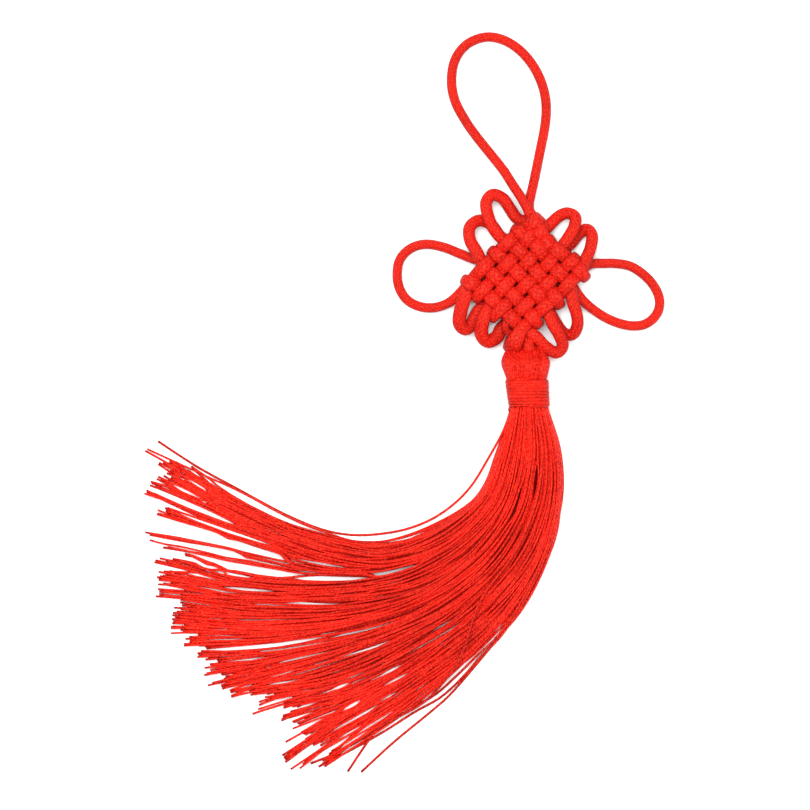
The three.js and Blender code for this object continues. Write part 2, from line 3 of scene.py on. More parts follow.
import bmesh
import bpy
import numpy as np
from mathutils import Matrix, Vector


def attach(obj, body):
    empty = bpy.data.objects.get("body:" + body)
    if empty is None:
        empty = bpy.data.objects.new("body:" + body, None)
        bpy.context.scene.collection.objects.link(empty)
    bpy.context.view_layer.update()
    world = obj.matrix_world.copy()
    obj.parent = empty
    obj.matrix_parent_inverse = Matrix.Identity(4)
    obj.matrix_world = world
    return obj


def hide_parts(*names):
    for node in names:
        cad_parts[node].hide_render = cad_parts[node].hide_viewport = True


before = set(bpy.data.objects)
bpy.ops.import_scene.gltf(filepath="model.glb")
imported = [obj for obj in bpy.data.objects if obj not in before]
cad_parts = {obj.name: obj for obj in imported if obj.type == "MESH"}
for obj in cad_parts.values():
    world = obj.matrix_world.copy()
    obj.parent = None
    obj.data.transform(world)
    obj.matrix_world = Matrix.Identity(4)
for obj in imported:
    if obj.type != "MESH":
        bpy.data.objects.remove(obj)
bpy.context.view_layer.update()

# A chinese knot tassel of red satin cord and thread, lying flat. Tables are in mm, the scene in metres.
MM = 0.001

# The cord: round in the long loops, and flatter in the small ones and in the weave
CORD = 2.5
SMALL_WIDE = 3.15
SMALL_THICK = 2.4
FULL_WIDE = 3.6
WOVEN_THICK = 2.1
BUMP_WIDE = 3.35
SLOPE_WIDE = 3.25
TUCKED_WIDE = 2.9
# How much wider the cord spreads in the rows and the columns of each face
FULLER = {("row", "front"): 0.35, ("column", "front"): 0.0, ("row", "back"): 0.9, ("column", "back"): 0.4}
CORD_SIDES = 18
CORD_STEP = 0.5
SWELL_LENGTH = 3.0
LEVEL_ENOUGH = 0.25
# Powers of the oval section, from a plain oval to a squarer one
ROUND = 2.0
PRESSED = 2.6
# Painted shade down the cord's sides and underside: how dark the red is painted at the bottom, the height on
# the section up to which it stays that dark, and the height over which it fades out, in half thicknesses
PAINTED_SIDE_SHADE = 0.6
PAINTED_SHADE_FROM = -0.4
PAINTED_SHADE_FADE = 1.2

# How far the whole knot lies off its tables
SETTLED = (-0.12, -0.22, 0.0)

# The weave
RUNS = 6
KNOT_CENTRE = (31.7, 33.25)
COLUMN_PITCH = 3.66
ROW_PITCH = 4.23
ROW_TURN = math.radians(-46.4)
COLUMN_TURN = math.radians(-136.0)
# Crossings that the cord has pulled off the even grid: x and y off it, and how much fatter the bump is
PULLED = {
    (1, 1): (0.7, -0.4, 1.1), (1, 2): (-0.4, -0.4, 0.0), (1, 3): (-1.2, -0.5, 0.6), (1, 4): (-0.8, 0.0, 0.2),
    (1, 5): (0.2, 0.0, 0.2), (2, 1): (-0.1, -0.1, 0.2), (2, 2): (-0.3, 1.4, 0.0), (2, 3): (-0.4, 0.9, 0.1),
    (3, 1): (-0.1, 0.2, 0.0), (3, 2): (0.3, 0.6, -0.2), (3, 3): (0.3, 0.8, 0.1), (3, 6): (-0.3, -1.1, 0.4),
    (4, 2): (0.4, 0.5, 0.1), (4, 3): (0.3, 0.6, -0.1), (4, 4): (0.4, 0.5, 0.0), (4, 5): (0.5, 0.4, 0.0),
    (5, 1): (-0.2, -0.2, 0.2), (5, 2): (0.1, -0.1, -0.1), (5, 6): (-0.2, -0.2, 0.2),
    (6, 1): (-0.8, -1.4, 0.5), (6, 2): (0.2, -0.5, 0.1), (6, 3): (0.1, -0.7, 0.0), (6, 5): (-0.2, 0.0, -0.2),
}
LEVEL = 1.85
BACK_OUTER = 1.1
BACK_INNER = BACK_OUTER + LEVEL
FRONT_INNER = BACK_INNER + LEVEL
FRONT_OUTER = FRONT_INNER + LEVEL
MIDDLE = (BACK_OUTER + FRONT_OUTER) / 2
THIRD_RISE = 0.55
BEND_REACH = 1.6
BEND_STEPS = 6
BEND_NARROWS = 0.3
OVER = 5.2
UNDER = 2.1
ON_FLOOR = CORD / 2

# Ways out of the weave and back: x, y, z of the cord's centreline
HANGING_LOOP = [
    (36.0, 45.5, 4.0), (35.7, 46.8, 2.7), (34.5, 47.9, 1.8), (33.1, 48.9, 1.6), (32.4, 50.4, 1.7),
    (32.4, 52.0, 1.9), (32.8, 54.0, 1.9), (33.4, 56.6, 1.7), (34.9, 63.9, ON_FLOOR), (36.4, 71.5, ON_FLOOR),
    (36.8, 75.5, ON_FLOOR), (36.6, 79.1, ON_FLOOR), (35.6, 83.1, ON_FLOOR), (33.3, 87.7, ON_FLOOR),
    (29.7, 91.8, ON_FLOOR), (25.3, 94.4, ON_FLOOR), (21.1, 95.0, ON_FLOOR), (16.3, 93.2, ON_FLOOR),
    (13.2, 89.3, ON_FLOOR), (12.2, 83.7, ON_FLOOR), (13.1, 78.5, ON_FLOOR), (16.0, 73.0, ON_FLOOR),
    (18.9, 68.9, 1.4), (25.7, 60.3, 2.3), (28.1, 56.5, 3.0), (29.8, 53.9, 3.7), (31.3, 51.3, 4.3),
    (32.3, 49.6, 4.7),
]
RIGHT_EAR = [
    (47.0, 35.4, 2.4), (48.9, 36.1, 1.9), (51.4, 36.2, 1.4), (54.7, 36.2, ON_FLOOR), (58.6, 35.5, ON_FLOOR),
    (62.1, 33.3, ON_FLOOR), (64.8, 30.3, ON_FLOOR), (66.2, 27.0, ON_FLOOR), (66.0, 24.2, ON_FLOOR),
    (64.6, 21.9, ON_FLOOR), (62.1, 20.3, ON_FLOOR), (58.9, 20.0, ON_FLOOR), (55.0, 20.9, ON_FLOOR),
    (51.4, 22.6, 1.4), (47.8, 25.2, 1.8), (45.1, 27.8, UNDER),
]
LEFT_EAR = [
    (19.3, 36.9, 2.4), (17.4, 37.5, 2.0), (14.2, 38.8, 1.5), (10.2, 40.4, ON_FLOOR), (5.4, 41.2, ON_FLOOR),
    (1.6, 40.1, ON_FLOOR), (-1.1, 37.4, ON_FLOOR), (-1.9, 33.9, ON_FLOOR), (-1.4, 30.0, ON_FLOOR),
    (0.7, 26.7, ON_FLOOR), (4.0, 25.0, ON_FLOOR), (7.5, 24.7, ON_FLOOR), (11.1, 25.8, 1.4),
    (14.0, 27.9, UNDER),
]
UPPER_LEFT_A = [
    (31.9, 47.4, 2.2), (30.4, 47.2, 2.1), (28.9, 48.2, 2.1), (27.3, 50.5, 2.2), (25.5, 53.0, 2.7),
    (22.9, 54.0, 3.4), (21.2, 52.1, 4.2), (21.5, 48.9, 4.9), (22.8, 45.6, OVER), (24.7, 43.1, OVER),
]
UPPER_LEFT_B = [
    (24.9, 43.1, 2.3), (22.3, 46.4, 2.0), (19.2, 47.3, 2.7), (16.9, 45.5, 3.9), (16.9, 42.4, 4.8),
    (18.8, 38.9, OVER),
]
UPPER_RIGHT_A = [
    (36.8, 45.3, 2.2), (38.3, 46.8, 2.0), (40.2, 48.5, 2.4), (42.2, 49.2, 3.2), (44.2, 48.2, 4.2),
    (44.1, 45.9, 4.9), (42.7, 43.2, OVER),
]
UPPER_RIGHT_B = [
    (43.0, 41.2, 2.3), (45.2, 43.8, 2.0), (47.3, 45.0, 2.8), (48.6, 43.4, 4.2), (48.2, 40.2, 4.9),
    (47.0, 37.2, OVER),
]
LOWER_RIGHT_A = [
    (39.6, 20.2, UNDER), (41.6, 17.9, 2.0), (43.6, 17.8, 2.9), (44.8, 20.0, 4.0), (44.6, 23.0, 4.8),
    (43.6, 26.0, OVER),
]
LOWER_RIGHT_B = [
    (33.6, 17.5, OVER), (36.6, 14.5, 4.6), (39.4, 13.0, 4.0), (41.0, 14.7, 4.3), (40.0, 17.7, 5.0),
    (38.4, 20.4, OVER),
]
LOWER_LEFT_A = [
    (15.7, 27.4, OVER), (14.5, 23.6, 4.7), (14.3, 20.6, 3.9), (15.7, 19.2, 3.0), (17.5, 20.6, 2.2),
    (19.2, 23.8, UNDER),
]
LOWER_LEFT_B = [
    (20.9, 23.0, OVER), (20.1, 20.4, 4.9), (20.0, 17.6, 4.0), (21.6, 16.0, 3.0), (23.7, 16.8, 2.3),
    (25.2, 19.2, 2.0), (26.4, 20.5, 2.1),
]
END_ONE = [
    (31.8, 17.8, 3.4), (31.9, 16.0, 5.0), (32.1, 14.4, 5.6), (32.4, 12.9, 4.9), (32.5, 11.3, 4.5),
    (32.5, 9.8, 4.5),
]
CORNER_BEND = [
    (29.2, 17.1, 7.0), (28.2, 15.1, 6.5), (27.8, 14.1, 5.0), (27.8, 14.1, 3.0), (28.2, 15.5, 1.7),
    (29.2, 17.8, 1.2),
]
END_TWO = [
    (26.6, 20.7, 4.9), (26.3, 19.4, 4.6), (27.4, 18.0, 4.0), (28.8, 16.8, 3.9), (29.5, 15.2, 4.0),
    (29.7, 13.4, 4.3), (29.7, 11.6, 4.5), (29.7, 9.8, 4.5),
]

# The head: lobes of folded thread. At each y of HEAD_PLACES a lobe has its centre x, half width, low and high
HEAD_PLACES = (14.6, 12.6, 10.2, 7.4, 5.4)
LOBES = {
    "between": [(31.4, 3.8, 2.2, 4.4), (31.4, 4.3, 1.0, 6.6), (31.45, 4.8, 0.4, 8.3), (31.5, 4.75, 0.4, 8.3),
                (31.6, 4.7, 0.8, 7.7)],
    "left": [(28.6, 1.2, 2.0, 4.6), (27.6, 1.9, 0.7, 7.0), (27.2, 2.25, 0.05, 8.7), (27.75, 1.95, 0.1, 8.6),
             (28.3, 1.7, 0.8, 7.6)],
    "middle": [(31.4, 1.5, 1.8, 4.6), (31.5, 2.3, 0.7, 7.4), (31.9, 2.9, 0.05, 9.4), (31.8, 2.6, 0.1, 9.1),
               (31.7, 2.2, 0.8, 8.1)],
    "right": [(34.4, 1.1, 2.0, 4.4), (35.3, 1.4, 0.7, 6.6), (35.75, 1.85, 0.05, 8.5), (35.35, 1.75, 0.1, 8.5),
              (35.0, 1.6, 0.8, 7.6)],
}
LOBE_LEAN = {"between": 0.0, "left": 0.30, "middle": -0.34, "right": -0.12}
LOBE_HALF_TALL = 4.3
HEAD_THREAD = 0.46
HEAD_PACKED = 0.94
HEAD_PROUD = 0.13
HEAD_STEP = 0.45
HEAD_LEAST_TINT = 0.72
HEAD_TINT_RANGE = 0.38

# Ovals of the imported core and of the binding: y, left, right, low and high
HEAD_CORE = [
    (14.6, 28.6, 34.2, 2.4, 4.0), (13.0, 27.2, 35.6, 1.4, 6.0), (10.2, 26.2, 36.6, 0.8, 7.6),
    (7.4, 26.9, 36.2, 0.8, 7.6),
]
BINDING_TOP = (6.05, 25.75, 37.35, 0.0, 8.9)
BINDING_FOOT = (-1.55, 26.75, 37.65, 0.0, 8.7)
CORE_POWER = 2.3
CORE_SIDES = 36
CORE_LOWEST = 0.4
CORE_INSET = 1.1
BINDING_TURNS = 17
BINDING_STEPS = 56
BINDING_THREAD = 0.58
BINDING_POWER = 2.6
BINDING_INSET = 0.06
# The short tail of the binding thread: x, y, z
BINDING_TAIL = [(27.6, -1.2, 6.6), (27.0, -1.5, 5.8), (26.9, -2.1, 5.1), (27.2, -2.7, 4.6)]
TAIL_THREAD = 0.4

# The skirt: x and y of the fan's upper edge, middle and lower edge at each station, and its height there
FAN = [
    (27.7, -1.0, 32.2, -1.0, 36.7, -1.0, 8.3),
    (23.7, -13.3, 32.1, -14.6, 40.3, -12.7, 7.3),
    (19.0, -23.9, 29.6, -27.0, 40.8, -24.2, 6.5),
    (7.5, -32.6, 21.6, -40.0, 38.1, -37.4, 5.5),
    (-7.3, -36.7, 8.6, -50.2, 31.3, -50.8, 4.5),
    (-24.4, -33.3, -9.6, -56.7, 21.1, -64.5, 3.5),
    (-44.2, -24.2, -32.5, -60.2, 7.0, -79.3, 2.5),
    (-66.0, -13.1, -58.8, -61.9, -12.6, -97.2, 1.8),
]
# Locks that the thread ends gather in: tip x and y, threads, width across, how far the short ones stop short
LOCKS = [
    (-67.4, -12.4, 2, 0.7, 6.0), (-63.7, -15.3, 5, 2.0, 5.0),
    (-59.8, -16.0, 8, 2.4, 5.0), (-62.2, -17.9, 10, 2.8, 6.0), (-64.3, -19.4, 5, 1.5, 4.0),
    (-66.6, -21.5, 7, 2.0, 4.0), (-67.4, -22.9, 6, 1.4, 5.0), (-64.1, -27.5, 7, 1.6, 5.0),
    (-64.5, -29.2, 4, 1.2, 4.0), (-67.3, -32.7, 3, 0.8, 3.0), (-66.2, -33.9, 3, 0.8, 3.0),
    (-62.8, -37.3, 2, 0.6, 2.0), (-60.3, -39.8, 6, 1.5, 4.0), (-65.0, -40.8, 6, 1.5, 4.0),
    (-64.3, -44.5, 8, 2.0, 4.0), (-61.9, -46.0, 10, 3.0, 5.0), (-64.1, -46.8, 4, 1.2, 4.0),
    (-64.7, -49.4, 8, 2.2, 8.0), (-58.6, -51.9, 10, 3.2, 5.0), (-60.6, -54.6, 12, 3.6, 5.0),
    (-58.2, -57.6, 8, 2.2, 5.0), (-60.9, -58.6, 8, 3.0, 4.0), (-57.6, -61.4, 10, 3.8, 4.0),
    (-54.2, -64.6, 8, 3.4, 4.0), (-52.3, -67.9, 8, 2.4, 4.0), (-52.3, -70.5, 4, 1.0, 4.0),
    (-48.5, -71.9, 8, 2.0, 5.0), (-51.4, -73.3, 3, 0.8, 5.0), (-47.8, -73.8, 6, 1.6, 4.0),
    (-45.5, -75.7, 8, 2.0, 4.0), (-40.6, -74.8, 10, 2.8, 4.0), (-36.8, -75.7, 8, 2.2, 4.0),
    (-35.2, -76.6, 4, 1.2, 4.0), (-38.1, -78.4, 3, 0.8, 3.0), (-39.8, -80.8, 2, 0.6, 4.0),
    (-32.0, -78.8, 6, 1.6, 4.0), (-30.7, -81.1, 8, 2.2, 5.0), (-32.4, -82.4, 4, 1.0, 3.0),
    (-29.6, -84.2, 6, 1.6, 4.0), (-31.1, -88.3, 1, 0.2, 0.0), (-26.5, -87.4, 10, 3.0, 6.0),
    (-31.6, -92.8, 10, 2.0, 4.0), (-29.8, -95.4, 1, 0.2, 0.0), (-23.4, -90.0, 8, 2.6, 5.0),
    (-27.6, -94.9, 3, 0.8, 3.0), (-21.6, -93.9, 8, 2.2, 4.0),
]
# Slits and furrows between threads: x and y where they start and end, how far they gape to each side,
# and how high up the threads stay closed, which is 0 for a slit down to the floor
PARTINGS = [
    (5.2, -41.6, -9.1, -45.8, 0.55, 0.0), (-6.8, -45.6, -29.9, -46.0, 0.6, 0.0),
    (-28.2, -44.6, -54.6, -42.9, 0.6, 0.0), (-38.7, -46.0, -49.7, -43.9, 0.5, 0.0),
    (-33.5, -49.1, -49.1, -48.1, 0.5, 0.0), (39.8, -29.6, 36.4, -41.0, 0.4, 0.0),
    (2.3, -69.7, -7.0, -74.4, 0.5, 0.0), (-10.7, -77.0, -16.9, -80.6, 0.6, 0.0),
    (-13.8, -72.3, -19.0, -75.3, 0.5, 0.0), (-0.8, -68.6, -5.4, -70.0, 0.4, 0.0),
    (-1.8, -75.4, -7.0, -77.9, 0.4, 0.0), (-41.1, -33.3, -74.0, -19.2, 0.9, 0.0),
    (-45.3, -35.6, -76.0, -27.3, 0.9, 0.0), (-29.9, -38.5, -73.0, -32.8, 0.9, 0.0),
    (-41.1, -39.3, -72.0, -35.0, 0.7, 0.0), (-47.1, -41.6, -68.0, -39.4, 0.6, 0.0),
    (-50.2, -23.7, -58.2, -19.2, 0.5, 0.0), (-51.5, -26.0, -61.0, -21.0, 0.5, 0.0),
    (-36.4, -28.1, -50.2, -20.8, 0.45, 0.0), (34.3, -15.6, 33.2, -26.0, 0.5, 2.0),
    (30.4, -20.4, 28.0, -31.0, 0.45, 1.8), (37.6, -28.0, 35.0, -38.0, 0.25, 2.0),
    (24.0, -33.0, 17.0, -41.0, 0.25, 1.6), (33.0, -33.0, 27.0, -44.0, 0.25, 1.8),
]
FURROW_SLOPE = 1.2
# Threads that lie apart from the mass: x, y and z along them
STRAYS = {
    "along the upper edge": [
        (27.7, -1.2, 4.6), (25.6, -7.3, 3.8), (21.8, -14.3, 3.0), (17.2, -21.8, 2.2), (12.7, -26.5, 1.5),
        (7.0, -30.4, 1.0), (0.5, -33.0, 0.7), (-6.5, -34.3, 0.5), (-13.3, -34.6, 0.3), (-20.3, -33.5, 0.3),
        (-29.9, -29.8, 0.3), (-44.6, -22.0, 0.3), (-52.9, -17.5, 0.3), (-58.5, -14.0, 0.3),
        (-64.2, -10.2, 0.3),
    ],
    "along the lower edge": [
        (36.8, -1.2, 3.6), (39.9, -12.7, 3.1), (40.4, -24.2, 2.6), (38.0, -37.4, 2.0), (34.4, -46.8, 1.4),
        (29.9, -54.6, 0.9), (24.7, -60.8, 0.6), (19.5, -67.1, 0.4), (11.4, -76.4, 0.3), (6.0, -81.1, 0.3),
        (-2.9, -88.4, 0.3), (-11.4, -96.2, 0.3),
    ],
    "over the lower edge": [
        (33.6, -1.2, 8.0), (35.4, -13.0, 7.4), (33.8, -26.0, 6.9), (28.3, -39.0, 6.0), (19.5, -51.5, 5.1),
        (13.8, -67.1, 3.8), (5.5, -77.5, 2.0), (-1.3, -81.6, 1.4), (-7.0, -84.8, 1.0), (-10.1, -88.9, 0.5),
        (-14.9, -96.1, 0.3),
    ],
    "loose lock, outer": [
        (36.6, -1.2, 4.6), (39.5, -12.7, 4.0), (40.0, -24.2, 3.3), (37.5, -37.0, 2.6), (31.2, -51.2, 1.6),
        (24.7, -61.1, 0.9), (19.0, -66.9, 0.6), (15.3, -71.2, 0.4), (9.1, -76.9, 0.3), (2.9, -80.4, 0.3),
        (-6.5, -86.3, 0.3), (-16.9, -92.0, 0.3), (-22.5, -94.8, 0.3),
    ],
    "loose lock, inner": [
        (36.4, -1.2, 5.2), (39.1, -12.7, 4.8), (39.5, -24.2, 4.0), (36.9, -37.0, 3.2), (30.5, -51.2, 2.2),
        (24.0, -60.9, 1.4), (18.2, -66.4, 0.9), (14.3, -70.3, 0.6), (8.2, -75.8, 0.5), (2.2, -79.4, 0.4),
        (-7.3, -85.3, 0.3), (-17.6, -91.1, 0.3), (-24.5, -94.0, 0.3),
    ],
}
UPPER_STRAY = "along the upper edge"
THREAD = 0.58
THINNEST = 0.90
THICKER = 0.16
STRAY_THREAD = 0.66
# Shades of red, where 1 is the plain colour: the stray threads at root and tip, then all the others, with
# painted light at the ends of each thread and painted shade along its middle
ROOT_TINT = 0.95
STRAY_TINT = 0.62
LEAST_TINT = 0.82
TINT_RANGE = 0.28
ENDS_PAINTED_LIGHTER = 1.07
MIDDLE_PAINTED_DARKER = 0.17
CUT_END = 0.6
THREAD_SIDES = 6
THREAD_STEP = 2.0
# Stations of the fan where threads begin to draw into their locks, and over how many they do
DRAW_FROM = 3.3
DRAW_OVER = 3.6
WANDER = 0.012
WANDER_MORE = 0.03
JUMP = 0.05
JUMPING_PAST = 0.88
FAN_POWER = 2.6
TIP_STACK = 0.9
GOLDEN = 0.618034

# Colours of the satin, from the painted shade in its hollows to the painted highlight on its crowns
CORD_RED = (0.74, 0.004, 0.0015, 1.0)
THREAD_RED = (0.88, 0.005, 0.002, 1.0)
# Painted shade for the hollows between the fibres, and also the colour of random dark flecks
HOLLOW_SHADE_AND_FLECK_RED = (0.30, 0.0005, 0.0003, 1.0)
END_RED = (0.22, 0.001, 0.001, 1.0)
SILK_GLOSS = (1.0, 0.66, 0.48, 1.0)
# A painted orange highlight for the crowns of the fibres
PAINTED_HIGHLIGHT_RED = (0.95, 0.05, 0.02, 1.0)
SILK_IOR = 1.27
SILK_SPECULAR = 0.65
ROUGH_DEEP = 0.70
ROUGH_CLEAR = 0.50
PATCHES_PER_METRE = 110.0
# Ranges of the noise: where it starts and ends, and what the colour makes of it there
FLECKS = (0.36, 0.59, 0.15, 1.0)
# The noise range of the painted highlight flecks
PAINTED_HIGHLIGHT_FLECKS = (0.48, 0.70, 0.0, 0.9)
PATCHES = (0.3, 0.7, 0.84, 1.08)

# The braid of the cord: length of a cell, cells round it, and the fibres that show in each
BRAID_CELL = 1.3
BRAID_ROUND = 8.0
FIBRES = 3
CELL_RELIEF = 0.25
FIBRE_RELIEF = 0.16
TWIST_FIBRE_RELIEF = 0.08


def uneven(number):
    """An uneven number from 0 to 1, the same every time."""
    return abs(math.sin(number * 12.9898 + 4.1414) * 43758.5453) % 1


def smooth(share):
    share = np.clip(share, 0, 1)
    return share * share * (3 - 2 * share)


def cell(row, column):
    """Where a row and a column of the knot cross, and how much fatter the bump is there."""
    middle = (RUNS + 1) / 2
    along_row = (column - middle) * COLUMN_PITCH
    along_column = (row - middle) * ROW_PITCH
    pulled = PULLED.get((row, column), (0.0, 0.0, 0.0))
    x = KNOT_CENTRE[0] + math.cos(ROW_TURN) * along_row + math.cos(COLUMN_TURN) * along_column + pulled[0]
    y = KNOT_CENTRE[1] + math.sin(ROW_TURN) * along_row + math.sin(COLUMN_TURN) * along_column + pulled[1]
    return x, y, pulled[2]


def crossing(kind, number, face, place):
    """A key of the cord where it crosses the one that lies over or under it."""
    row, column = (number, place) if kind == "row" else (place, number)
    column_outside = (row + column) % 2 == 0
    outside = column_outside if kind == "column" else not column_outside
    if face == "front":
        z = FRONT_OUTER if outside else FRONT_INNER
    else:
        z = BACK_OUTER if outside else BACK_INNER
    x, y, fatter = cell(row, column)
    width = BUMP_WIDE + fatter if outside else TUCKED_WIDE
    return x, y, z, width + FULLER[kind, face], WOVEN_THICK, PRESSED


def weave(kind, number, face, forward):
    """Keys of one row or column of the knot, over and under by turns."""
    places = range(1, RUNS + 1) if forward else range(RUNS, 0, -1)
    crossings = [crossing(kind, number, face, place) for place in places]
    keys = [crossings[0]]
    for here, there in zip(crossings, crossings[1:]):
        half = (here[2] - there[2]) / 2
        for third, rise in ((1, THIRD_RISE), (2, -THIRD_RISE)):
            share = third / 3
            x = here[0] + (there[0] - here[0]) * share
            y = here[1] + (there[1] - here[1]) * share
            z = (here[2] + there[2]) / 2 + half * rise
            keys.append((x, y, z, SLOPE_WIDE + FULLER[kind, face], WOVEN_THICK, PRESSED))
        keys.append(there)
    return keys


def tight_bend(before, last, reach=BEND_REACH, wide=BUMP_WIDE):
    """Keys of an upright bend at the knot's side, from one face to the other."""
    heading = np.array(last[:2]) - np.array(before[:2])
    heading /= np.linalg.norm(heading)
    rise = FRONT_OUTER - MIDDLE
    start = 1 if last[2] > MIDDLE else -1
    keys = []
    for step in range(1, BEND_STEPS):
        angle = math.pi * step / BEND_STEPS
        out = reach * math.sin(angle)
        x = last[0] + heading[0] * out
        y = last[1] + heading[1] * out
        z = MIDDLE + start * rise * math.cos(angle)
        keys.append((x, y, z, wide - BEND_NARROWS * math.sin(angle), WOVEN_THICK, PRESSED))
    return keys


def loose(points, wide, thick):
    """Keys of a free span, swelling from the woven size to its own near each end."""
    spots = np.array(points)
    steps = np.linalg.norm(np.diff(spots, axis=0), axis=1)
    along = np.concatenate([[0], np.cumsum(steps)]) + SWELL_LENGTH / 2
    from_end = along[::-1][0] + SWELL_LENGTH / 2 - along
    swell = np.clip(np.minimum(along, from_end) / SWELL_LENGTH, 0, 1)
    keys = []
    for spot, share in zip(points, swell):
        width = SLOPE_WIDE + (wide - SLOPE_WIDE) * share
        height = WOVEN_THICK + (thick - WOVEN_THICK) * share
        keys.append((*spot, width, height, PRESSED + (ROUND - PRESSED) * share))
    return keys


def cord_keys():
    """The whole way of the cord, from one end in the tassel's head to the other."""
    small = (SMALL_WIDE, SMALL_THICK)
    full = (FULL_WIDE, SMALL_THICK)
    keys = []

    def go(kind, number, face, forward):
        keys.extend(weave(kind, number, face, forward))

    def turn(reach=BEND_REACH, wide=BUMP_WIDE):
        keys.extend(tight_bend(keys[-2], keys[-1], reach, wide))

    def span(points, wide, thick):
        keys.extend(loose(points, wide, thick))

    span(END_ONE[::-1], wide=3.2, thick=2.4)
    go("row", 6, "back", False)
    turn()
    go("row", 6, "front", True)
    span(LOWER_RIGHT_B, *small)
    go("row", 4, "front", False)
    turn()
    go("row", 4, "back", True)
    span(LOWER_RIGHT_A, *small)
    go("row", 2, "front", False)
    turn()
    go("row", 2, "back", True)
    span(RIGHT_EAR[::-1], CORD, CORD)
    go("column", 6, "back", True)
    span(CORNER_BEND[::-1], wide=4.7, thick=2.5)
    go("column", 6, "front", False)
    span(UPPER_RIGHT_B[::-1], *small)
    go("column", 4, "back", True)
    turn(reach=3.7)
    go("column", 4, "front", False)
    span(UPPER_RIGHT_A[::-1], *small)
    go("column", 2, "back", True)
    turn(reach=3.2)
    go("column", 2, "front", False)
    span(HANGING_LOOP, CORD, CORD)
    go("row", 1, "front", True)
    turn(reach=2.0)
    go("row", 1, "back", False)
    span(UPPER_LEFT_A, *small)
    go("row", 3, "front", True)
    turn(reach=2.0)
    go("row", 3, "back", False)
    span(UPPER_LEFT_B, *small)
    go("row", 5, "front", True)
    turn(reach=2.3)
    go("row", 5, "back", False)
    span(LEFT_EAR, CORD, CORD)
    go("column", 1, "back", False)
    turn(reach=1.5, wide=4.3)
    go("column", 1, "front", True)
    span(LOWER_LEFT_A, *full)
    go("column", 3, "back", False)
    turn()
    go("column", 3, "front", True)
    span(LOWER_LEFT_B, *full)
    go("column", 5, "back", False)
    turn()
    go("column", 5, "front", True)
    span(END_TWO, wide=2.2, thick=2.2)
    return np.array(keys)


def flowing(keys, step):
    """Even points along a centripetal curve through the keys. Extra columns of the keys go along."""
    spots = keys[:, :3]
    spacing = np.sqrt(np.maximum(np.linalg.norm(np.diff(spots, axis=0), axis=1), 1e-6))
    knots = np.concatenate([[0], np.cumsum(spacing)])
    gaps = np.diff(knots)
    slopes = np.diff(keys, axis=0) / gaps[:, None]
    tangents = np.empty_like(keys)
    tangents[0] = slopes[0]
    tangents[-1] = slopes[-1]
    share = (gaps[:-1] / (gaps[:-1] + gaps[1:]))[:, None]
    tangents[1:-1] = slopes[:-1] * (1 - share) + slopes[1:] * share
    dense = []
    for i, gap in enumerate(gaps):
        count = max(4, int(np.linalg.norm(spots[i + 1] - spots[i]) / step * 3))
        t = (np.arange(count) / count)[:, None]
        hermite = (
            keys[i] * (2 * t**3 - 3 * t**2 + 1)
            + tangents[i] * gap * (t**3 - 2 * t**2 + t)
            + keys[i + 1] * (3 * t**2 - 2 * t**3)
            + tangents[i + 1] * gap * (t**3 - t**2)
        )
        dense.append(hermite)
    dense = np.concatenate([*dense, keys[-1:]])
    lengths = np.linalg.norm(np.diff(dense[:, :3], axis=0), axis=1)
    along = np.concatenate([[0], np.cumsum(lengths)])
    count = max(2, int(round(along[-1] / step)) + 1)
    even = np.linspace(0, along[-1], count)
    columns = [np.interp(even, along, dense[:, i]) for i in range(dense.shape[1])]
    return np.stack(columns, axis=1), even


def unit(vectors):
    return vectors / np.maximum(np.linalg.norm(vectors, axis=1, keepdims=True), 1e-9)


def rings_of(path, side, wide, thick, power, sides):
    """Rings of points round a path, with their flat way along side."""
    tangent = unit(np.gradient(path, axis=0))
    side = unit(side - tangent * np.sum(side * tangent, axis=1, keepdims=True))
    up = np.cross(tangent, side)
    angles = 2 * np.pi * np.arange(sides) / sides
    power = np.broadcast_to(power, len(path))[:, None]
    across = np.sign(np.cos(angles)) * np.abs(np.cos(angles)) ** (2 / power)
    over = np.sign(np.sin(angles)) * np.abs(np.sin(angles)) ** (2 / power)
    wide = np.broadcast_to(wide, len(path))[:, None, None] / 2
    thick = np.broadcast_to(thick, len(path))[:, None, None] / 2
    return path[:, None] + side[:, None] * across[..., None] * wide + up[:, None] * over[..., None] * thick


def level_side(path):
    tangent = np.gradient(path, axis=0)
    return unit(np.stack([-tangent[:, 1], tangent[:, 0], np.zeros(len(path))], axis=1))


def cord_side(path):
    """The flat way of the cord, level where it can be, and kept through the upright bends."""
    tangent = unit(np.gradient(path, axis=0))
    sides = []
    side = None
    for x, y, _ in tangent:
        level = np.array([-y, x, 0.0])
        length = np.linalg.norm(level)
        if side is None:
            side = level / length
        elif length > LEVEL_ENOUGH:
            level /= length
            side = -level if level @ side < 0 else level
        sides.append(side)
    return np.array(sides)


